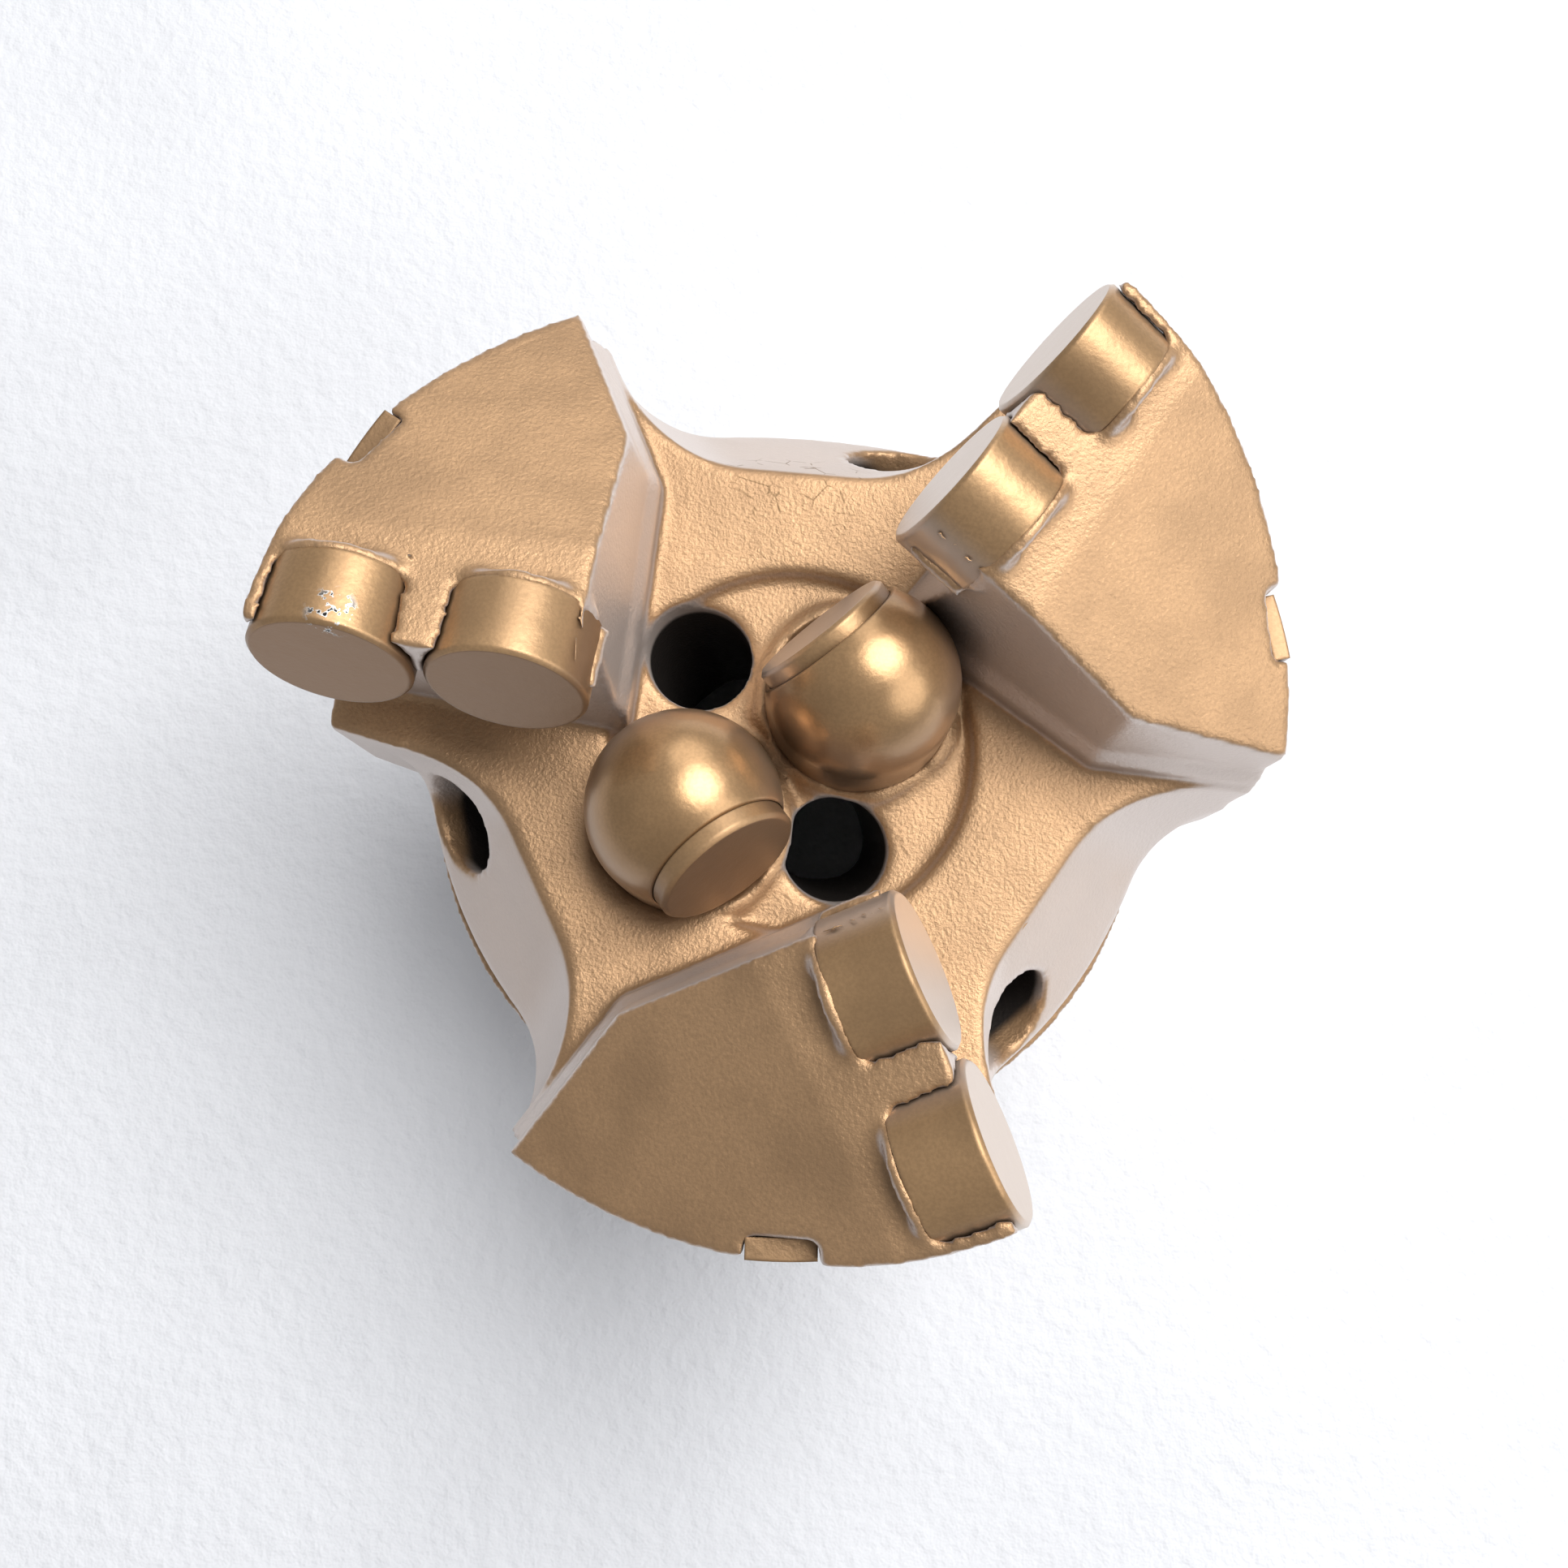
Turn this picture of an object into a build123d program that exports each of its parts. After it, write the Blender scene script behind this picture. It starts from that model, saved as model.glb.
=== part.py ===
"""Three-wing concave PDC drill bit, 105 mm gauge, with a box thread for the drill rod.

The bit stands on the end face of its shank. The origin is on the bit axis, in that face,
and +Z runs up the axis to the cutting face. Each wing is drawn in its own wing frame: X runs
outwards along the line of its cutters and Y points the way the wing cuts, so its cutter faces
look along +Y. The cutting direction is anticlockwise when the cutting face is seen from above.
"""
import os
from math import atan2, cos, degrees, radians, sin, sqrt, tan
from build123d import *

# ---- driving dimensions, millimetres and degrees ----
WING_COUNT = 3
WING_AZIMUTH = 51.6            # bearing of the first wing's X axis from the row's +X
GAUGE_R = 52.5                 # hole radius that the outer cutters cut

# PDC cutters
CUTTER_D = 16.0
CUTTER_LENGTH = 8.0
CUTTER_EDGE = 0.4              # chamfer round the diamond face
BACK_RAKE = 16.0               # lean of each face, its normal tipped up by this much
CUTTER_LINE_OFFSET = 2.5       # face centres stand this far ahead of the wing's X axis
CUTTER_PITCH = 16.85           # outer face centre to inner face centre
INNER_CUTTER_DROP = 0.9        # inner face centre below the outer one
BRAZE_GAP = 0.1                # radial gap between a cutter and its pocket

# heights above the shank's end face
CUTTER_Z = 98.0                # outer face centre
FACE_EDGE_Z = 76.0             # body face at the gauge
FACE_CENTRE_Z = 74.2           # body face at the rim of the central recess
RECESS_Z = 72.8                # floor of the central recess
WALL_FOOT_Z = 80.0             # upper edge of the skirt round each wing's foot
GAUGE_FOOT_Z = 57.0            # lower end of the wings' gauge
SHANK_TOP_Z = 42.0             # top of the plain shank

# body radii
WING_TOP_RELIEF = 0.6          # outside of a wing's top, inside the gauge
BODY_RELIEF = 1.8              # outside of the wings' feet, inside the gauge
WAIST_R = 44.0
SHANK_R = 40.0
RECESS_R = 19.6
RECESS_SLOPE = 1.0             # radial run of the recess's sloping rim
SHANK_CHAMFER = 2.0

# wing plan, in the wing frame at the skirt's upper edge
WING_FRONT_Y = 4.9             # front wall below the cutters
FRONT_SETBACK = 0.6            # body front behind the plane of the cutter faces
WING_INNER_FRONT_X = 19.2      # inner wall at the front
WING_INNER_BACK_X = 19.8       # inner wall at the back
WING_INNER_BACK_Y = -26.6
TRAILING_BEARING = -59.4       # bearing of the trailing wall from its inner corner outwards
WALL_DRAFT = 4.0
SKIRT_WIDTH = 1.2
SKIRT_HEIGHT = 2.6

# wing top: height over CUTTER_Z = level + radial slope * x + back slope * y
TOP_LEVEL = 5.57
TOP_RADIAL_SLOPE = 0.037
TOP_BACK_SLOPE = 0.456
BEVEL_Y = -14.3                # rear edge of the flatter strip behind the cutters, at x = 0
BEVEL_SKEW = 0.08              # how far that edge moves forward for each millimetre outwards
BEVEL_BACK_SLOPE = 0.25
SHELF_RISE = 0.5               # shelf between the cutters, above their centre lines
SHELF_LEDGE = 0.3              # the shelf runs on this far behind the cutters

# junk slots between the wings, in the frame of the wing they follow
SLOT_FLOOR_Y = -30.8           # slot floor line at x = 0, on the face
SLOT_FLOOR_SLOPE = 0.06
SLOT_TRAILING_LAND = 0.6       # strip of face between a wing's skirt and the slot
SLOT_LEADING_LAND = 0.4        # strip of face between the slot and the next wing's front, at the gauge
SLOT_LEADING_BEARING = -8.0    # bearing of that edge in the next wing's frame
SLOT_TRAILING_FILLET = 15.0
SLOT_LEADING_FILLET = 12.0
SLOT_RAKE = 32.0               # lean of the slot floor from the vertical
SLOT_FOOT_R = 42.7             # below its leaning floor the slot is turned down to this radius
SLOT_FOOT_Z = 50.8
SLOT_FOOT_TRAILING_FILLET = 12.0
SLOT_FOOT_LEADING_FILLET = 4.0

# waterways
FACE_PORT_D = 11.5
FACE_PORT_A_REACH = 14.9       # distance from the axis, in the recess
FACE_PORT_A_BEARING = 133.9
FACE_PORT_B_REACH = 12.1
FACE_PORT_B_BEARING = 293.7
FACE_PORT_LEAN = 14.0
SIDE_PORT_D = 11.6
SIDE_PORT_BEARING = -101.0     # from the X axis of the wing that the slot follows
SIDE_PORT_RISE = 32.0
SIDE_PORT_Z = 65.0             # where a side port's axis meets the slot floor
SIDE_PORT_REACH = 38.8         # radius of that point
PLENUM_R = 17.0
PLENUM_TOP_Z = 50.0
THREAD_BORE_R = 28.5           # box thread's bore wall
THREAD_DEPTH = 34.0

# centre cutters on their brazed studs
STUD_A_REACH = 9.42            # distance from the axis
STUD_A_BEARING = 37.2
STUD_A_FACING = 130.5          # bearing that its cutter face looks along
STUD_A_DOME_BEHIND = 7.6       # centre of its dome behind that face
STUD_B_REACH = 13.67
STUD_B_BEARING = 214.3
STUD_B_FACING = 306.5
STUD_B_DOME_BEHIND = 8.5
STUD_R = 10.4
STUD_DOME_Z = 82.5             # the dome is a hemisphere centred at this height
STUD_SPIGOT_R = 8.0
STUD_SPIGOT_LENGTH = 8.0
STUD_LIP_BEHIND_FACE = 1.8     # the stud's flat front, behind the cutter face

# gauge inserts let into the outside of each wing
INSERT_WIDTH = 6.8
INSERT_DEPTH = 2.4
INSERT_HEIGHT = 20.0
INSERT_BEARINGS = (-40.0, -25.0, -23.0)     # one per wing, placed by hand
INSERT_BELOW_TOP = 1.8
INSERT_GAP = 0.1

# ---- values that follow ----
WING_TOP_R = GAUGE_R - WING_TOP_RELIEF
BODY_R = GAUGE_R - BODY_RELIEF
CUTTER_R = CUTTER_D / 2
OUTER_CUTTER_X = sqrt(GAUGE_R ** 2 - CUTTER_LINE_OFFSET ** 2) - CUTTER_R
INNER_CUTTER_X = OUTER_CUTTER_X - CUTTER_PITCH
TOP_Z = CUTTER_Z + CUTTER_D
FAR = 3 * GAUGE_R              # past everything


def polar(radius, bearing):
    """The plan point at that radius and bearing."""
    return radius * cos(radians(bearing)), radius * sin(radians(bearing))


def wing_place(index):
    """Turns a shape drawn in the wing frame to the wing with that index."""
    return Rot(0, 0, WING_AZIMUTH + 360 / WING_COUNT * index)


def along(point, direction):
    """A plane at the point whose Z axis runs along the direction."""
    return Plane(origin=point, z_dir=direction)


def face_normal(bearing):
    """Outward normal of a cutter face that looks along the bearing."""
    flat = cos(radians(BACK_RAKE))
    return Vector(flat * cos(radians(bearing)), flat * sin(radians(bearing)), sin(radians(BACK_RAKE)))


def rod_behind(point, normal, radius, length, ahead=0.0):
    """A cylinder that starts ahead of the point and runs back from the face."""
    plane = along(Vector(*point) + normal * ahead, -normal)
    return plane * Cylinder(radius, length + ahead, align=(Align.CENTER, Align.CENTER, Align.MIN))


def cutter(point, normal):
    """A PDC cutter: a short cylinder with a chamfered diamond face."""
    blank = Cylinder(CUTTER_R, CUTTER_LENGTH, align=(Align.CENTER, Align.CENTER, Align.MIN))
    blank = chamfer(blank.edges().sort_by(Axis.Z)[0], CUTTER_EDGE)
    return along(Vector(*point), -normal) * blank


# ---- wings ----
def wing_cutter_points():
    """Face centres of a wing's outer and inner cutters, in the wing frame."""
    return {
        "outer": (OUTER_CUTTER_X, CUTTER_LINE_OFFSET, CUTTER_Z),
        "inner": (INNER_CUTTER_X, CUTTER_LINE_OFFSET, CUTTER_Z - INNER_CUTTER_DROP),
    }


def meet(point_a, bearing_a, point_b, bearing_b):
    """Where two plan lines cross."""
    ax, ay = polar(1, bearing_a)
    bx, by = polar(1, bearing_b)
    gap_x, gap_y = point_b[0] - point_a[0], point_b[1] - point_a[1]
    run = (gap_x * by - gap_y * bx) / (ax * by - ay * bx)
    return point_a[0] + run * ax, point_a[1] + run * ay


def reach_circle(point, bearing, radius):
    """Where a plan line that runs outwards crosses the circle of that radius about the axis."""
    ux, uy = polar(1, bearing)
    along_line = point[0] * ux + point[1] * uy
    run = sqrt(along_line ** 2 - point[0] ** 2 - point[1] ** 2 + radius ** 2) - along_line
    return point[0] + run * ux, point[1] + run * uy


def trailing_line(spread):
    """A point on the trailing wall's plan line, moved out by spread, and the line's bearing."""
    out_x, out_y = polar(spread, TRAILING_BEARING - 90)
    return (WING_INNER_BACK_X + out_x, WING_INNER_BACK_Y + out_y), TRAILING_BEARING


def inner_line(spread):
    """The same for the inner wall, which runs from the back corner to the front."""
    run_x, run_y = WING_INNER_FRONT_X - WING_INNER_BACK_X, WING_FRONT_Y - WING_INNER_BACK_Y
    bearing = degrees(atan2(run_y, run_x))
    out_x, out_y = polar(spread, bearing + 90)
    return (WING_INNER_BACK_X + out_x, WING_INNER_BACK_Y + out_y), bearing


def wing_outline(spread=0.0):
    """A wing's plan, open outwards past the gauge, with its inner and trailing walls spread."""
    front = (WING_INNER_FRONT_X, WING_FRONT_Y)
    back = meet(*inner_line(spread), *trailing_line(spread))
    front = meet(*inner_line(spread), front, 0)
    tail = meet(*trailing_line(spread), (0, -FAR), 0)
    return make_face(Polyline((FAR, WING_FRONT_Y), front, back, tail, (FAR, -FAR), close=True))


def under_slope(level, slope_x, slope_y):
    """Everything below the sloping plane z = level + slope_x * x + slope_y * y."""
    normal = Vector(-slope_x, -slope_y, 1)
    plane = along((0, 0, level), normal)
    return plane * Box(4 * FAR, 4 * FAR, 2 * FAR, align=(Align.CENTER, Align.CENTER, Align.MAX))


def wing_top():
    """The space under a wing's two top planes: the back slope and the flatter strip before it."""
    level = CUTTER_Z + TOP_LEVEL
    flattening = TOP_BACK_SLOPE - BEVEL_BACK_SLOPE
    back = under_slope(level, TOP_RADIAL_SLOPE, TOP_BACK_SLOPE)
    bevel = under_slope(level + flattening * BEVEL_Y, TOP_RADIAL_SLOPE + flattening * BEVEL_SKEW, BEVEL_BACK_SLOPE)
    return back & bevel


def over_shelf():
    """The space over the shelf between the cutters, which leaves their upper halves bare."""
    outer, inner = (Vector(*point) for point in wing_cutter_points().values())
    plane = Plane(origin=outer, x_dir=outer - inner, z_dir=face_normal(90))
    run_back = CUTTER_LENGTH + SHELF_LEDGE
    return plane * Pos(0, SHELF_RISE, -run_back) * Box(FAR, FAR, FAR, align=(Align.CENTER, Align.MIN, Align.MIN))


def insert_top_z(bearing):
    """Top of the gauge insert at that bearing, below the wing's back slope."""
    x, y = polar(WING_TOP_R - INSERT_DEPTH, bearing)
    return CUTTER_Z + TOP_LEVEL + TOP_RADIAL_SLOPE * x + TOP_BACK_SLOPE * y - INSERT_BELOW_TOP


def insert_block(bearing, gap, top):
    """The block that a gauge insert fills, grown by the gap and reaching up to top."""
    depth = INSERT_DEPTH + gap
    height = top - insert_top_z(bearing) + INSERT_HEIGHT + gap
    block = Box(2 * depth, INSERT_WIDTH + 2 * gap, height, align=(Align.MIN, Align.CENTER, Align.MAX))
    return Rot(0, 0, bearing) * Pos(WING_TOP_R - depth, 0, top) * block


def gauge_insert(bearing, outside):
    """A carbide bar flush with the outside of the wing."""
    return insert_block(bearing, 0, insert_top_z(bearing)) & outside


def wing():
    """One wing before its outside is turned: walls, skirt, sloping top and flat front."""
    walls = Pos(0, 0, WALL_FOOT_Z) * extrude(wing_outline(), amount=TOP_Z - WALL_FOOT_Z, taper=WALL_DRAFT)
    skirt_taper = degrees(atan2(SKIRT_WIDTH, SKIRT_HEIGHT))
    skirt_z = WALL_FOOT_Z - SKIRT_HEIGHT
    skirt = Pos(0, 0, skirt_z) * extrude(wing_outline(SKIRT_WIDTH), amount=2 * SKIRT_HEIGHT, taper=skirt_taper)
    foot = Pos(0, 0, SHANK_TOP_Z) * extrude(wing_outline(SKIRT_WIDTH), amount=skirt_z - SHANK_TOP_Z)
    front_point = Vector(0, CUTTER_LINE_OFFSET, CUTTER_Z) - face_normal(90) * FRONT_SETBACK
    ahead = along(front_point, face_normal(90)) * Box(FAR * 4, FAR, FAR, align=(Align.CENTER, Align.CENTER, Align.MIN))
    return (walls & wing_top()) + skirt + foot - ahead - over_shelf()


def cutter_pockets():
    """The pockets that a wing's cutters are brazed into, open towards the front."""
    rods = [
        rod_behind(point, face_normal(90), CUTTER_R + BRAZE_GAP, CUTTER_LENGTH, ahead=CUTTER_R)
        for point in wing_cutter_points().values()
    ]
    return rods[0] + rods[1]


# ---- body ----
def turned_outside():
    """The round outside of the whole bit: shank, waist, gauge and the wings' outsides."""
    profile = Polyline(
        (0, 0),
        (SHANK_R - SHANK_CHAMFER, 0),
        (SHANK_R, SHANK_CHAMFER),
        (SHANK_R, SHANK_TOP_Z),
        (WAIST_R, SHANK_TOP_Z + (WAIST_R - SHANK_R)),
        (WAIST_R, GAUGE_FOOT_Z - (BODY_R - WAIST_R)),
        (BODY_R, GAUGE_FOOT_Z),
        (BODY_R, WALL_FOOT_Z),
        (WING_TOP_R, CUTTER_Z),
        (WING_TOP_R, TOP_Z),
        (0, TOP_Z),
        close=True,
    )
    return revolve(Plane.XZ * make_face(profile), Axis.Z)


def space_over_face():
    """Everything above the dished face and its central recess."""
    rim_r = RECESS_R + RECESS_SLOPE
    far_z = FACE_CENTRE_Z + (FACE_EDGE_Z - FACE_CENTRE_Z) * (FAR - rim_r) / (BODY_R - rim_r)
    profile = Polyline(
        (0, RECESS_Z), (RECESS_R, RECESS_Z), (rim_r, FACE_CENTRE_Z), (FAR, far_z), (FAR, 2 * TOP_Z), (0, 2 * TOP_Z), close=True
    )
    return revolve(Plane.XZ * make_face(profile), Axis.Z)


def slot_edges():
    """The slot's trailing and leading plan lines, each as a point and an outward bearing."""
    edge_x, edge_y = BODY_R, WING_FRONT_Y + SLOT_LEADING_LAND
    sector = 360 / WING_COUNT
    leading_point = polar(sqrt(edge_x ** 2 + edge_y ** 2), degrees(atan2(edge_y, edge_x)) - sector)
    return trailing_line(SKIRT_WIDTH + SLOT_TRAILING_LAND), (leading_point, SLOT_LEADING_BEARING - sector)


def slot_wedge():
    """The upright wedge between a slot's two sides, up to the rim of the face."""
    trailing, leading = slot_edges()
    apex = meet(*trailing, *leading)
    sides = [(apex[0] + x, apex[1] + y) for x, y in (polar(FAR, trailing[1]), polar(FAR, leading[1]))]
    plan = make_face(Polyline(apex, *sides, close=True))
    return Pos(0, 0, SLOT_FOOT_Z) * extrude(plan, amount=FACE_EDGE_Z - SLOT_FOOT_Z)


def round_corners(solid, corners, trailing_radius, leading_radius):
    """Rounds the two inner edges of a slot, given by a point on each."""
    for point, radius in zip(corners, (trailing_radius, leading_radius)):
        edge = solid.edges().sort_by(lambda e: e.distance_to(Vertex(*point)))[0]
        solid = fillet(edge, radius)
    return solid


def junk_slot():
    """The scoop between two wings: upright sides, a floor that leans out, and a turned foot."""
    trailing, leading = slot_edges()
    lean = radians(SLOT_RAKE)
    floor_normal = Vector(-SLOT_FLOOR_SLOPE, 1, 0).normalized() * cos(lean) - Vector(0, 0, sin(lean))
    floor = along((0, SLOT_FLOOR_Y, FACE_EDGE_Z), floor_normal)
    scoop = slot_wedge() - floor * Box(4 * FAR, 4 * FAR, FAR, align=(Align.CENTER, Align.CENTER, Align.MIN))
    floor_line = (0, SLOT_FLOOR_Y), degrees(atan2(SLOT_FLOOR_SLOPE, 1))
    corners = [(*meet(*floor_line, *side), FACE_EDGE_Z) for side in (trailing, leading)]
    scoop = round_corners(scoop, corners, SLOT_TRAILING_FILLET, SLOT_LEADING_FILLET)
    foot = slot_wedge() - Cylinder(SLOT_FOOT_R, 2 * TOP_Z)
    corners = [(*reach_circle(*side, SLOT_FOOT_R), FACE_EDGE_Z / 2 + SLOT_FOOT_Z / 2) for side in (trailing, leading)]
    foot = round_corners(foot, corners, SLOT_FOOT_TRAILING_FILLET, SLOT_FOOT_LEADING_FILLET)
    return scoop + foot


def thread_box():
    """The bore for the rod's thread and the plenum above it, which feeds the waterways."""
    step = THREAD_BORE_R - PLENUM_R
    profile = Polyline(
        (0, 0),
        (THREAD_BORE_R, 0),
        (THREAD_BORE_R, THREAD_DEPTH),
        (PLENUM_R, THREAD_DEPTH + step / 2),
        (PLENUM_R, PLENUM_TOP_Z),
        (0, PLENUM_TOP_Z + PLENUM_R / 2),
        close=True,
    )
    return revolve(Plane.XZ * make_face(profile), Axis.Z)


def face_port(radius, bearing):
    """A waterway from the plenum to the recess, leaning out from the axis."""
    lean = radians(FACE_PORT_LEAN)
    x, y = polar(radius, bearing)
    out_x, out_y = polar(sin(lean), bearing)
    direction = Vector(out_x, out_y, cos(lean))
    length = (RECESS_Z - PLENUM_TOP_Z) / cos(lean) + 1.5 * FACE_PORT_D
    start = Vector(x, y, RECESS_Z) + direction * FACE_PORT_D
    drill = Cylinder(FACE_PORT_D / 2, length, align=(Align.CENTER, Align.CENTER, Align.MIN))
    return along(start, -direction) * drill


def side_port():
    """A waterway from the plenum out through a slot floor, towards the next wing's cutters."""
    x, y = polar(SIDE_PORT_REACH, SIDE_PORT_BEARING)
    rise = radians(SIDE_PORT_RISE)
    out_x, out_y = polar(cos(rise), SIDE_PORT_BEARING)
    direction = Vector(out_x, out_y, sin(rise))
    start = Vector(x, y, SIDE_PORT_Z) + direction * SIDE_PORT_D
    length = (SIDE_PORT_REACH - PLENUM_R / 2) / cos(rise) + SIDE_PORT_D
    drill = Cylinder(SIDE_PORT_D / 2, length, align=(Align.CENTER, Align.CENTER, Align.MIN))
    return along(start, -direction) * drill


def centre_studs():
    """Each stud's x and y, the bearing of its cutter face, and its dome centre behind that face."""
    return {
        "a": (*polar(STUD_A_REACH, STUD_A_BEARING), STUD_A_FACING, STUD_A_DOME_BEHIND),
        "b": (*polar(STUD_B_REACH, STUD_B_BEARING), STUD_B_FACING, STUD_B_DOME_BEHIND),
    }


def stud_shape(x, y, gap=0.0):
    """A stud without its cutter: a spigot, a round post and a domed head, grown by the gap."""
    spigot_r, spigot_z = STUD_SPIGOT_R + gap, RECESS_Z - STUD_SPIGOT_LENGTH - gap
    post_r = STUD_R + gap
    crown = (0, STUD_DOME_Z + post_r)
    shoulder = (post_r, STUD_DOME_Z)
    lower = Polyline(
        crown, (0, spigot_z), (spigot_r, spigot_z), (spigot_r, RECESS_Z), (post_r, RECESS_Z), shoulder
    )
    dome = RadiusArc(shoulder, crown, -post_r)
    profile = revolve(Plane.XZ * make_face(lower + dome), Axis.Z)
    return Pos(x, y, 0) * profile


def stud_face_point(x, y, bearing, dome_behind):
    """Face centre of the cutter on a centre stud."""
    return Vector(x, y, STUD_DOME_Z) + face_normal(bearing) * dome_behind


def centre_stud(x, y, bearing, dome_behind):
    """A stud with its front cut flat just behind its cutter's face, and the cutter's pocket."""
    normal = face_normal(bearing)
    face = stud_face_point(x, y, bearing, dome_behind)
    lip = along(face - normal * STUD_LIP_BEHIND_FACE, normal)
    in_front = lip * Box(FAR, FAR, FAR, align=(Align.CENTER, Align.CENTER, Align.MIN))
    above_floor = Pos(x, y, RECESS_Z) * Box(FAR, FAR, FAR, align=(Align.CENTER, Align.CENTER, Align.MIN))
    stud = stud_shape(x, y) - (in_front & above_floor)
    return stud - rod_behind(face, normal, CUTTER_R + BRAZE_GAP, CUTTER_LENGTH, ahead=CUTTER_R)


# ---- assembly ----
def bit_body(outside):
    """The body in one piece: wings, slots, waterways, thread box and the seats of what it holds."""
    around_wings = space_over_face()
    for index in range(WING_COUNT):
        around_wings -= wing_place(index) * wing()
    body = outside - around_wings
    for index in range(WING_COUNT):
        place = wing_place(index)
        body -= place * junk_slot()
        body -= place * cutter_pockets()
        body -= place * insert_block(INSERT_BEARINGS[index], INSERT_GAP, TOP_Z)
        body -= place * side_port()
    body -= face_port(FACE_PORT_A_REACH, FACE_PORT_A_BEARING)
    body -= face_port(FACE_PORT_B_REACH, FACE_PORT_B_BEARING)
    for x, y, *_ in centre_studs().values():
        body -= stud_shape(x, y, BRAZE_GAP)
    return body - thread_box()


def build_parts():
    """Every node of the bit by name."""
    outside = turned_outside()
    parts = {"bit_body": bit_body(outside)}
    for index in range(WING_COUNT):
        number = index + 1
        for line, point in wing_cutter_points().items():
            parts[f"{line}_cutter_{number}"] = wing_place(index) * cutter(point, face_normal(90))
        parts[f"gauge_insert_{number}"] = wing_place(index) * gauge_insert(INSERT_BEARINGS[index], outside)
    for name, stud in centre_studs().items():
        bearing = stud[2]
        parts[f"centre_stud_{name}"] = centre_stud(*stud)
        parts[f"centre_cutter_{name}"] = cutter(stud_face_point(*stud), face_normal(bearing))
    return parts


os.makedirs("parts", exist_ok=True)
for name, shape in build_parts().items():
    export_step(shape, f"parts/{name}.step")
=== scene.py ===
"""Scene for a three-wing PDC drill bit, sprayed gold and seen from above on white paper.

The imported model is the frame. The steel body is shown by a skin with the soft edges, braze beads
and thick paint of the real one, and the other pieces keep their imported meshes. All lengths are
in metres; values in millimetres are multiplied by MM.
"""
import math

import bmesh
import bpy
from mathutils import Matrix, Quaternion, Vector, noise


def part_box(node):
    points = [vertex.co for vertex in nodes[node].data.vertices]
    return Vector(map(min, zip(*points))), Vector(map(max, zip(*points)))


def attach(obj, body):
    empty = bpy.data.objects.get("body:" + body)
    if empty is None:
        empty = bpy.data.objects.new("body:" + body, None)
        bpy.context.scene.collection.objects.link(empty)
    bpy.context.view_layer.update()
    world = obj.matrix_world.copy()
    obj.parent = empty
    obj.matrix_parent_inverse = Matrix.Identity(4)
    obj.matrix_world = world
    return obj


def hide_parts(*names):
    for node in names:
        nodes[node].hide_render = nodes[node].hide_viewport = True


MM = 0.001
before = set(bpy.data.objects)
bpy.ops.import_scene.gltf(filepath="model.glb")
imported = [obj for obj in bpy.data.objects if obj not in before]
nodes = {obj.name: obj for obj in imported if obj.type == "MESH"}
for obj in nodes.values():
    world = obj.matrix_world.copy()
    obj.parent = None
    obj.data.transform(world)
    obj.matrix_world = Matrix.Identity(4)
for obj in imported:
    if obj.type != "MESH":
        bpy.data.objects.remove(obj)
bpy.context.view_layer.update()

# ---- sizes that the frame doesn't give directly ----
BACK_RAKE = math.radians(16)      # lean of the cutter faces
CUTTER_R = 8 * MM
CUTTER_LENGTH = 8 * MM
SHELF_RISE = 0.5 * MM             # shelf between the cutters, above their centre lines
STUD_R = 10.4 * MM
FLOOR_Z = 72.8 * MM               # floor of the recess that the studs stand in
SLOT_RIM_R = 30.8 * MM            # slot floor's distance from the axis at the face
SLOT_RIM_Z = 76 * MM
SLOT_LEAN = math.tan(math.radians(32))
SLOT_FOOT_R = 41 * MM             # the slots go no deeper than this
THREAD_BORE_R = 28.5 * MM
THREAD_DEPTH = 34 * MM
THREAD_PITCH = 6.35 * MM
THREAD_CREST = 1.6 * MM

# ---- braze beads round the cutters ----
CUTTER_BEAD_R = 0.85 * MM
SHELF_BEAD_R = 0.75 * MM
SIDE_BEAD_SPREAD = 0.985          # shares of a cutter's radius
BACK_BEAD_SPREAD = 0.93

# ---- skin of the body ----
SKIN_VOXEL = 0.5 * MM
SKIN_SMOOTHING = 7
SKIN_TRIANGLES = 185000           # triangles that the thinned skin is cut down to; a piece stays under 200,000
PAINT_WAVINESS = 0.03 * MM
PAINT_WAVE_LENGTH = 6 * MM

# ---- camera, in the frame's own axes ----
CAMERA_PLACE = Vector((-2.05, -29.53, 241.98)) * MM
CAMERA_TURN = (-0.1516, 0.0074, 0.0)     # rotation vector from the frame's axes to the camera's
CAMERA_SENSOR = 36.0
CAMERA_LENS = 35.4


# ---- materials ----
NOISE, RANGE, MATH, MIX = "ShaderNodeTexNoise", "ShaderNodeMapRange", "ShaderNodeMath", "ShaderNodeMix"
SMOOTH = {"interpolation_type": "SMOOTHSTEP"}
MIX_A, MIX_B, MIX_OUT = 6, 7, 2          # the colour sockets of a Mix node


def srgb(code):
    """Linear RGBA of an sRGB hex code."""
    channels = [int(code[i:i + 2], 16) / 255 for i in (0, 2, 4)]
    return [c / 12.92 if c <= 0.04045 else ((c + 0.055) / 1.055) ** 2.4 for c in channels] + [1.0]


def dimmed(colour, share):
    return [channel * share for channel in colour[:3]] + [1.0]


def per_size(millimetres):
    """Noise scale, in object coordinates, that gives features of that size."""
    return 1 / (millimetres * MM)


GOLD_TOP = srgb("c09a73")           # the gold paint, as on surfaces that face up
GOLD_SIDE_REFLECTION = srgb("d8ccc4")          # pale painted reflection of the white paper on upright walls
GOLD_SHADED = srgb("8f7257")        # brown painted shade on upright cutter faces turned from the light
GOLD_CORNER_SHADE = srgb("5a4128")          # painted shade in corners and seams
CUTTER_TOP = srgb("c09a70")
# pale painted reflection of the white paper on the cutters' upright walls
CUTTER_SIDE_REFLECTION = srgb("d2c2b4")
STUD_TOP = srgb("bc966c")
# darker painted shade on the studs' upright walls
STUD_SIDE_SHADE = srgb("a98c70")
INSERT_TOP = srgb("a98763")


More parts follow.
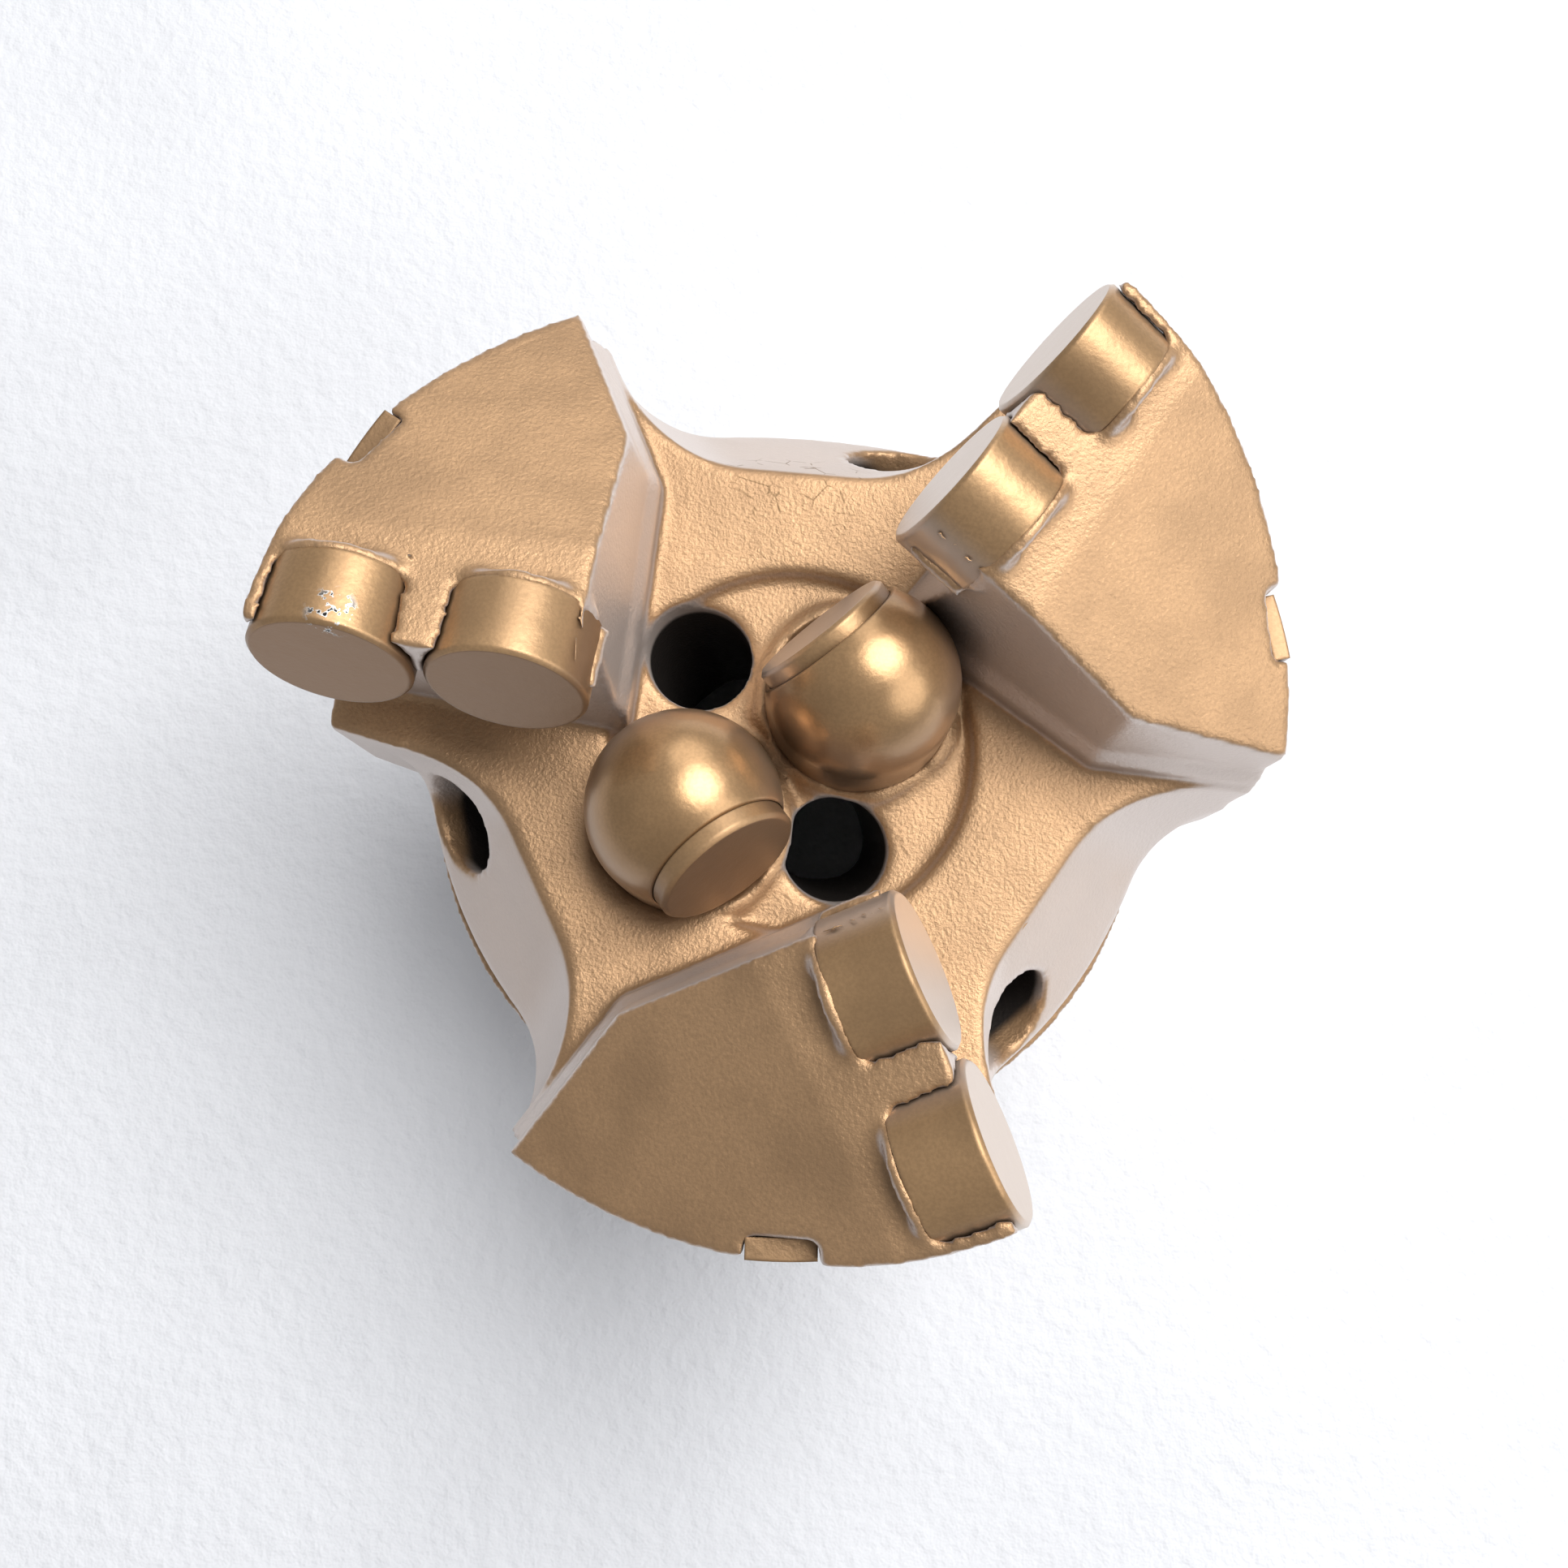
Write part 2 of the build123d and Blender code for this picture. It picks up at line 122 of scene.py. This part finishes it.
class Finish:
    """A material under construction: its colour and its layers of relief, joined at the end."""

    def __init__(self, name, roughness, metallic):
        self.material = bpy.data.materials.new(name)
        self.material.use_nodes = True
        self.tree = self.material.node_tree
        self.shader = self.tree.nodes["Principled BSDF"]
        self.shader.inputs["Roughness"].default_value = roughness
        self.shader.inputs["Metallic"].default_value = metallic
        self.place = self.add("ShaderNodeTexCoord", {}, "Object")
        self.colour = None
        self.layers = []
        self.edge_radius = 0.0

    def add(self, kind, inputs, output=0, **settings):
        """Adds a node, sets or links its inputs, and gives back one of its outputs."""
        made = self.tree.nodes.new(kind)
        for key, value in settings.items():
            setattr(made, key, value)
        for socket, value in inputs.items():
            if isinstance(value, bpy.types.NodeSocket):
                self.tree.links.new(value, made.inputs[socket])
            else:
                made.inputs[socket].default_value = value
        return made.outputs[output]

    def near(self, place, radius, softness):
        """1 within the radius of a place, falling to 0 past the softness."""
        away = self.add("ShaderNodeVectorMath", {0: self.place, 1: place}, "Value", operation="DISTANCE")
        limits = {"From Min": radius, "From Max": radius + softness, "To Min": 1.0, "To Max": 0.0}
        return self.add(RANGE, {"Value": away, **limits}, "Result", **SMOOTH)

    def paint_over(self, mask, colour):
        """Puts a colour over the finish where the mask is 1."""
        sockets = {"Factor": mask, MIX_A: self.colour, MIX_B: colour}
        self.colour = self.add(MIX, sockets, MIX_OUT, data_type="RGBA")

    def close_up(self):
        """Joins the colour and the relief, on softened edges, to the shader."""
        normal = None
        if self.edge_radius:
            normal = self.add("ShaderNodeBevel", {"Radius": self.edge_radius}, samples=6)
        for height, depth in self.layers:
            sockets = {"Distance": depth, "Height": height}
            if normal is not None:
                sockets["Normal"] = normal
            normal = self.add("ShaderNodeBump", sockets)
        self.tree.links.new(normal, self.shader.inputs["Normal"])
        self.tree.links.new(self.colour, self.shader.inputs["Base Color"])
        return self.material


# ---- what paint does ----
def gold_spray(name, top, side, grain_depth, roughness=0.42, metallic=0.62, edge_radius=0.0):
    """Gold metallic spray paint, grained, with painted light on upright walls: the side colour that is
    passed in, a pale painted reflection on most pieces and a painted shade on the studs and some cutters.
    """
    finish = Finish(name, roughness, metallic)
    place = finish.place
    # broad patches of thicker paint, about 9 mm across
    patches = finish.add(NOISE, {"Vector": place, "Scale": per_size(9), "Detail": 3}, "Fac")
    patches = finish.add(RANGE, {"Value": patches, "From Min": 0.35, "From Max": 0.7}, "Result", **SMOOTH)
    # the grain of the flakes, drawn at 0.35 mm so that it shows
    speckle = finish.add(NOISE, {"Vector": place, "Scale": per_size(0.35)}, "Fac")
    speckle = finish.add(RANGE, {"Value": speckle, "From Min": 0.3, "From Max": 0.7}, "Result", **SMOOTH)
    speckle = finish.add(MATH, {0: speckle, 1: 0.35}, operation="MULTIPLY")
    finish.colour = top
    finish.paint_over(patches, dimmed(top, 0.8))
    finish.paint_over(speckle, dimmed(top, 0.62))
    # painted light: walls steeper than about 50 degrees take the side colour
    normal = finish.add("ShaderNodeTexCoord", {}, "Normal")
    upward = finish.add("ShaderNodeSeparateXYZ", {0: normal}, "Z")
    limits = {"From Min": 0.42, "From Max": 0.8, "To Min": 1.0, "To Max": 0.0}
    finish.paint_over(finish.add(RANGE, {"Value": upward, **limits}, "Result", **SMOOTH), side)
    runs = finish.add(NOISE, {"Vector": place, "Scale": per_size(2.6)}, "Fac")
    sockets = {"Vector": place, "Scale": per_size(0.45), "Detail": 3, "Roughness": 0.6}
    grain = finish.add(NOISE, sockets, "Fac")
    finish.layers = [(runs, 0.05 * MM), (grain, grain_depth)]
    finish.edge_radius = edge_radius
    return finish


def paint_corner_shade(finish, reach, power):
    """Paints shade: dark brown in fillets, seams and holes narrower than the reach."""
    open_air = finish.add("ShaderNodeAmbientOcclusion", {"Distance": reach}, "AO", samples=8)
    open_air = finish.add(MATH, {0: open_air, 1: power}, operation="POWER")
    sockets = {"Factor": open_air, MIX_A: GOLD_CORNER_SHADE, MIX_B: finish.colour}
    finish.colour = finish.add(MIX, sockets, MIX_OUT, data_type="RGBA")


def crack_lines(finish, place, radius):
    """Hairline cracks where thick paint has run and dried near the rim of the face."""
    edges = {"Vector": finish.place, "Scale": per_size(3.4)}
    edges = finish.add("ShaderNodeTexVoronoi", edges, "Distance", feature="DISTANCE_TO_EDGE")
    limits = {"From Min": 0.01, "From Max": 0.035, "To Min": 1.0, "To Max": 0.0}
    lines = finish.add(RANGE, {"Value": edges, **limits}, "Result", **SMOOTH)
    broken = finish.add(NOISE, {"Vector": finish.place, "Scale": per_size(2.6)}, "Fac")
    broken = finish.add(RANGE, {"Value": broken, "From Min": 0.52, "From Max": 0.58}, "Result", **SMOOTH)
    mask = finish.add(MATH, {0: lines, 1: broken}, operation="MULTIPLY")
    mask = finish.add(MATH, {0: mask, 1: finish.near(place, radius, 4 * MM)}, operation="MULTIPLY")
    finish.paint_over(mask, srgb("8a6d4d"))


def paint_waterway_shade(finish):
    """Painted shade in the bores: near black on all that is deeper than the slots' leaning floors, under
    the recess.
    """
    x, y, z = (finish.add("ShaderNodeSeparateXYZ", {0: finish.place}, axis) for axis in "XYZ")
    radius = finish.add("ShaderNodeCombineXYZ", {"X": x, "Y": y}, "Vector")
    radius = finish.add("ShaderNodeVectorMath", {0: radius}, "Value", operation="LENGTH")
    floor_radius = finish.add(MATH, {0: SLOT_RIM_Z, 1: z}, operation="SUBTRACT")
    floor_radius = finish.add(MATH, {0: floor_radius, 1: SLOT_LEAN}, operation="MULTIPLY")
    floor_radius = finish.add(MATH, {0: floor_radius, 1: SLOT_RIM_R}, operation="ADD")
    floor_radius = finish.add(MATH, {0: floor_radius, 1: SLOT_FOOT_R}, operation="MINIMUM")
    depth = finish.add(MATH, {0: floor_radius, 1: radius}, operation="SUBTRACT")
    limits = {"From Min": 0.8 * MM, "From Max": 2.2 * MM}
    inside = finish.add(RANGE, {"Value": depth, **limits}, "Result", **SMOOTH)
    limits = {"From Min": FLOOR_Z - 1.8 * MM, "From Max": FLOOR_Z - 0.8 * MM, "To Min": 1.0, "To Max": 0.0}
    under = finish.add(RANGE, {"Value": z, **limits}, "Result", **SMOOTH)
    limits = {"From Min": THREAD_DEPTH + 1 * MM, "From Max": THREAD_DEPTH + 2 * MM}
    above_thread = finish.add(RANGE, {"Value": z, **limits}, "Result", **SMOOTH)
    mask = finish.add(MATH, {0: inside, 1: under}, operation="MULTIPLY")
    mask = finish.add(MATH, {0: mask, 1: above_thread}, operation="MULTIPLY")
    finish.paint_over(mask, srgb("3a3532"))


def chips(finish, place, radius, size_mm):
    """Chipped paint: black flecks with bright bare metal beside them."""
    sockets = {"Vector": finish.place, "Scale": per_size(size_mm), "Detail": 3, "Roughness": 0.65}
    fleck = finish.add(NOISE, sockets, "Fac")
    near = finish.near(place, radius, 1.2 * MM)
    for low, high, colour in ((0.54, 0.57, srgb("d2d0cd")), (0.58, 0.61, srgb("1c1a18"))):
        mask = finish.add(RANGE, {"Value": fleck, "From Min": low, "From Max": high}, "Result", **SMOOTH)
        mask = finish.add(MATH, {0: mask, 1: near}, operation="MULTIPLY")
        finish.paint_over(mask, colour)


# ---- places read from the frame ----
def middle(name):
    low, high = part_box(name)
    return (Vector(low) + Vector(high)) / 2


class Wing:
    """One wing's own axes and the places of its cutters."""

    def __init__(self, number):
        self.outer = middle(f"outer_cutter_{number}")
        self.inner = middle(f"inner_cutter_{number}")
        out = self.outer - self.inner
        out.z = 0
        self.out = out.normalized()
        self.ahead = Vector((-self.out.y, self.out.x, 0))
        self.axis = self.ahead * math.cos(BACK_RAKE) + Vector((0, 0, math.sin(BACK_RAKE)))
        self.up = self.out.cross(self.axis)


WINGS = [Wing(number) for number in (1, 2, 3)]


# ---- mesh helpers ----
def wobble(point, size, amount):
    """A smooth random offset of a point."""
    return noise.noise_vector(point / size) * amount


def tube(bm, path, radii, sides=8):
    """A round tube along a path, with closed ends and a radius at each point."""
    rings = []
    for index, (point, radius) in enumerate(zip(path, radii)):
        before, after = path[max(index - 1, 0)], path[min(index + 1, len(path) - 1)]
        turn = (after - before).to_track_quat("Z", "X")
        ring = []
        for side in range(sides):
            angle = 2 * math.pi * side / sides
            spoke = turn @ Vector((math.cos(angle), math.sin(angle), 0))
            ring.append(bm.verts.new(point + spoke * radius))
        rings.append(ring)
    for first, second in zip(rings, rings[1:]):
        for side in range(sides):
            other = (side + 1) % sides
            bm.faces.new((first[side], first[other], second[other], second[side]))
    bm.faces.new(list(reversed(rings[0])))
    bm.faces.new(rings[-1])


def bead(bm, path, radius, unevenness, size):
    """A hand-laid bead of braze along a path."""
    radii = [radius * (1 + unevenness * noise.noise(point / size)) for point in path]
    tube(bm, [point + wobble(point, size, radius * 0.3) for point in path], radii)


def arc(centre, across, up, radius, start, end, steps):
    """Points on an arc in the plane of two directions, from start to end in degrees."""
    angles = [math.radians(start + (end - start) * i / steps) for i in range(steps + 1)]
    return [centre + across * radius * math.cos(a) + up * radius * math.sin(a) for a in angles]


# ---- braze beads round cutters and studs ----
def cutter_beads(bm, wing):
    """Beads along each cutter at the shelf, over its back rim, and between the two cutters."""
    reach = CUTTER_LENGTH * 0.5
    for centre, sides in ((wing.outer, (-1,)), (wing.inner, (-1, 1))):
        for side in sides:
            foot = centre + wing.out * side * CUTTER_R * SIDE_BEAD_SPREAD + wing.up * SHELF_RISE
            path = [foot + wing.axis * reach * (0.7 - 1.7 * i / 8) for i in range(9)]
            bead(bm, path, CUTTER_BEAD_R, unevenness=0.25, size=3 * MM)
        back = centre - wing.axis * (reach + 0.2 * MM)
        path = arc(back, wing.out, wing.up, CUTTER_R * BACK_BEAD_SPREAD, 14, 166, 30)
        bead(bm, path, CUTTER_BEAD_R, unevenness=0.15, size=5 * MM)
    between = (wing.outer + wing.inner) / 2 + wing.up * SHELF_RISE
    path = [between + wing.axis * CUTTER_LENGTH * (0.36 - 0.9 * i / 10) for i in range(11)]
    bead(bm, path, SHELF_BEAD_R, unevenness=0.6, size=1.5 * MM)


def stud_beads(bm, name):
    """Two overlapping beads round the foot of a stud."""
    low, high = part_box(name)
    centre = Vector(((low[0] + high[0]) / 2, (low[1] + high[1]) / 2, FLOOR_Z))
    east, north = Vector((1, 0, 0)), Vector((0, 1, 0))
    for lift, spread, radius in ((0.15, 0.35, 0.95), (0.7, 0.1, 0.6)):
        ring = arc(centre + Vector((0, 0, lift * MM)), east, north, STUD_R + spread * MM, 0, 360, 72)
        bead(bm, ring, radius * MM, unevenness=0.55, size=3 * MM)


# ---- skin of the body ----
def baked(obj):
    """The object's mesh with its modifiers applied."""
    return bpy.data.meshes.new_from_object(obj.evaluated_get(bpy.context.evaluated_depsgraph_get()))


def painted_body():
    """The steel body under thick paint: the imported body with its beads, fused, softened and thinned."""
    bm = bmesh.new()
    bm.from_mesh(nodes["bit_body"].data)
    for wing in WINGS:
        cutter_beads(bm, wing)
    for name in ("centre_stud_a", "centre_stud_b"):
        stud_beads(bm, name)
    mesh = bpy.data.meshes.new("painted_body")
    bm.to_mesh(mesh)
    bm.free()
    skin = bpy.data.objects.new("painted_body", mesh)
    bpy.context.collection.objects.link(skin)
    remesh = skin.modifiers.new("fuse", "REMESH")
    remesh.mode = "VOXEL"
    remesh.voxel_size = SKIN_VOXEL
    smooth = skin.modifiers.new("soften", "SMOOTH")
    smooth.factor = 0.5
    smooth.iterations = SKIN_SMOOTHING
    fused = baked(skin)
    thin = skin.modifiers.new("thin", "DECIMATE")
    thin.ratio = min(1.0, SKIN_TRIANGLES / (2 * len(fused.polygons)))
    fused = baked(skin)
    skin.modifiers.clear()
    skin.data = fused
    places = []
    for vertex in fused.vertices:
        swell = noise.noise(vertex.co / PAINT_WAVE_LENGTH) * PAINT_WAVINESS
        places.extend(vertex.co + vertex.normal * swell)
    fused.vertices.foreach_set("co", places)
    fused.update()
    for polygon in fused.polygons:
        polygon.use_smooth = True
    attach(skin, "root")
    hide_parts("bit_body")
    return skin


# ---- thread in the shank: built point by point, because its ridge fades out at both ends ----
def rod_thread():
    """The box thread: a rounded ridge that winds up the bore."""
    pitch, crest, steps = THREAD_PITCH, THREAD_CREST, 64
    turns = THREAD_DEPTH / pitch - 1
    # inward in crests and along the bore in pitches, its two feet sunk into the bore
    profile = [(0.15, -0.42), (-0.9, -0.16), (-0.9, 0.16), (0.15, 0.42)]
    bm = bmesh.new()
    rows = []
    for index in range(int(turns * steps) + 1):
        angle = 2 * math.pi * index / steps
        fade = min(1.0, index / steps, (turns * steps - index) / steps + 0.05)
        middle_z = pitch * (0.5 + index / steps)
        row = []
        for inward, rise in profile:
            radius = THREAD_BORE_R + inward * crest * (fade if inward < 0 else 1)
            place = (radius * math.cos(angle), radius * math.sin(angle), middle_z + rise * pitch)
            row.append(bm.verts.new(place))
        rows.append(row)
    for first, second in zip(rows, rows[1:]):
        for a in range(len(profile)):
            b = (a + 1) % len(profile)
            bm.faces.new((first[a], second[a], second[b], first[b]))
    bm.faces.new(rows[0])
    bm.faces.new(list(reversed(rows[-1])))
    mesh = bpy.data.meshes.new("rod_thread")
    bmesh.ops.recalc_face_normals(bm, faces=bm.faces)
    bm.to_mesh(mesh)
    bm.free()
    thread = bpy.data.objects.new("rod_thread", mesh)
    bpy.context.collection.objects.link(thread)
    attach(thread, "root")
    return thread


# ---- finishes on pieces ----
def body_finish():
    # gold spray paint over forged steel
    finish = gold_spray("gold_spray_on_steel", GOLD_TOP, GOLD_SIDE_REFLECTION, 0.09 * MM)
    crack_lines(finish, (1 * MM, 32 * MM, SLOT_RIM_Z), 6 * MM)
    paint_corner_shade(finish, 3.5 * MM, 0.8)
    paint_waterway_shade(finish)
    return finish.close_up()


def cutter_spray(name, side, roughness, metallic):
    """The paint on a cutter, smoother because the metal under it is ground."""
    return gold_spray(name, CUTTER_TOP, side, 0.018 * MM, roughness, metallic, edge_radius=0.5 * MM)


def cutter_finish():
    # the same paint over sintered carbide
    finish = cutter_spray("gold_spray_on_carbide", CUTTER_SIDE_REFLECTION, 0.34, 0.7)
    paint_corner_shade(finish, 2.0 * MM, 0.8)
    return finish.close_up()


def shaded_cutter_finish():
    # the same paint, with brown painted shade on the upright faces
    finish = cutter_spray("gold_on_carbide_painted_shade", GOLD_SHADED, 0.36, 0.6)
    paint_corner_shade(finish, 2.0 * MM, 0.8)
    return finish.close_up()


def chipped_cutter_finish():
    # the same paint with brown painted shade on the upright faces, chipped off the top of the second
    # wing's outer cutter beside its face
    finish = cutter_spray("chipped_gold_on_carbide", GOLD_SHADED, 0.34, 0.7)
    wing = WINGS[1]
    place = wing.outer + wing.up * CUTTER_R * 0.97 + wing.axis * CUTTER_LENGTH * 0.32 - wing.out * 1.5 * MM
    chips(finish, place, 1.6 * MM, 1.3)
    paint_corner_shade(finish, 2.0 * MM, 0.8)
    return finish.close_up()


def stud_finish():
    # the same paint on a turned stud, glossier where it is thick on the dome
    finish = gold_spray("gold_spray_on_stud", STUD_TOP, STUD_SIDE_SHADE, 0.014 * MM, 0.3, 0.72, 0.4 * MM)
    paint_corner_shade(finish, 4 * MM, 0.9)
    return finish.close_up()


def insert_finish():
    # the same paint on a carbide bar brazed into its slot
    finish = gold_spray("gold_spray_on_insert", INSERT_TOP, GOLD_SIDE_REFLECTION, 0.04 * MM, edge_radius=0.4 * MM)
    paint_corner_shade(finish, 2.0 * MM, 0.8)
    return finish.close_up()


def thread_finish():
    # bright cut steel of the thread, with a film of oil
    finish = Finish("oiled_cut_steel", 0.32, 1.0)
    streaks = finish.add(NOISE, {"Vector": finish.place, "Scale": per_size(1.2)}, "Fac")
    streaks = finish.add(RANGE, {"Value": streaks, "From Min": 0.3, "From Max": 0.7}, "Result", **SMOOTH)
    finish.colour = srgb("8d8a86")
    finish.paint_over(streaks, srgb("b9b6b1"))
    tool_marks = finish.add(NOISE, {"Vector": finish.place, "Scale": per_size(0.3)}, "Fac")
    finish.layers = [(tool_marks, 0.01 * MM)]
    return finish.close_up()


def paper_finish():
    # matt white paper with a fine embossed tooth
    finish = Finish("embossed_white_paper", 0.85, 0.0)
    shade = finish.add(NOISE, {"Vector": finish.place, "Scale": per_size(60)}, "Fac")
    shade = finish.add(RANGE, {"Value": shade, "From Min": 0.3, "From Max": 0.7}, "Result", **SMOOTH)
    finish.colour = srgb("dfe0e3")
    finish.paint_over(shade, srgb("e6e7ea"))
    tooth = {"Vector": finish.place, "Scale": per_size(3.2), "Detail": 3, "Roughness": 0.6}
    finish.layers = [(finish.add(NOISE, tooth, "Fac"), 0.5 * MM)]
    return finish.close_up()


def dress(obj, material):
    obj.data.materials.clear()
    obj.data.materials.append(material)


# ---- stage ----
def paper_floor():
    """White embossed paper that the bit stands on."""
    bm = bmesh.new()
    bmesh.ops.create_grid(bm, x_segments=1, y_segments=1, size=2.5)
    mesh = bpy.data.meshes.new("paper_floor")
    bm.to_mesh(mesh)
    bm.free()
    floor = bpy.data.objects.new("paper_floor", mesh)
    bpy.context.collection.objects.link(floor)
    dress(floor, paper_finish())


def soft_lamp(name, place, aim, size, power):
    lamp = bpy.data.lights.new(name, "AREA")
    lamp.shape = "DISK"
    lamp.size = size
    lamp.energy = power
    obj = bpy.data.objects.new(name, lamp)
    obj.location = place
    obj.rotation_mode = "QUATERNION"
    obj.rotation_quaternion = (Vector(aim) - Vector(place)).to_track_quat("-Z", "Y")
    bpy.context.collection.objects.link(obj)


def studio():
    """Soft lamps overhead and to the upper right, and a pale world."""
    target = (0, 0, 80 * MM)
    soft_lamp("overhead_softbox", (0.36, 0.3, 0.95), target, 0.75, 10.5)
    soft_lamp("right_softbox", (0.8, -0.3, 0.65), target, 0.8, 3.6)
    soft_lamp("back_softbox", (0.1, 0.95, 0.7), target, 0.8, 2.6)
    world = bpy.data.worlds.new("pale_room")
    world.use_nodes = True
    air = world.node_tree.nodes["Background"]
    air.inputs["Color"].default_value = srgb("e9ebf0")
    air.inputs["Strength"].default_value = 0.36
    bpy.context.scene.world = world


def camera():
    """A phone's wide lens close above the bit, tipped a little towards its top edge."""
    data = bpy.data.cameras.new("camera")
    data.sensor_width = CAMERA_SENSOR
    data.lens = CAMERA_LENS
    data.clip_start = 5 * MM
    obj = bpy.data.objects.new("camera", data)
    turn = Vector(CAMERA_TURN)
    to_camera = Quaternion(turn.normalized(), turn.length).to_matrix()
    obj.matrix_world = Matrix.Translation(CAMERA_PLACE) @ to_camera.transposed().to_4x4()
    bpy.context.collection.objects.link(obj)
    bpy.context.scene.camera = obj


# ---- making it ----
skin = painted_body()
dress(skin, body_finish())
dress(rod_thread(), thread_finish())
plain_cutter = cutter_finish()
shaded_cutter = shaded_cutter_finish()
# cutters whose upright faces get brown painted shade, one of them also with real chips
special_cutters = {
    "outer_cutter_2": chipped_cutter_finish(),
    "inner_cutter_2": shaded_cutter,
    "centre_cutter_b": shaded_cutter,
}
stud = stud_finish()
insert = insert_finish()
for name, obj in nodes.items():
    if "cutter" in name:
        dress(obj, special_cutters.get(name, plain_cutter))
    elif "stud" in name:
        dress(obj, stud)
    elif "insert" in name:
        dress(obj, insert)
paper_floor()
studio()
camera()
bpy.context.scene.view_settings.view_transform = "Standard"
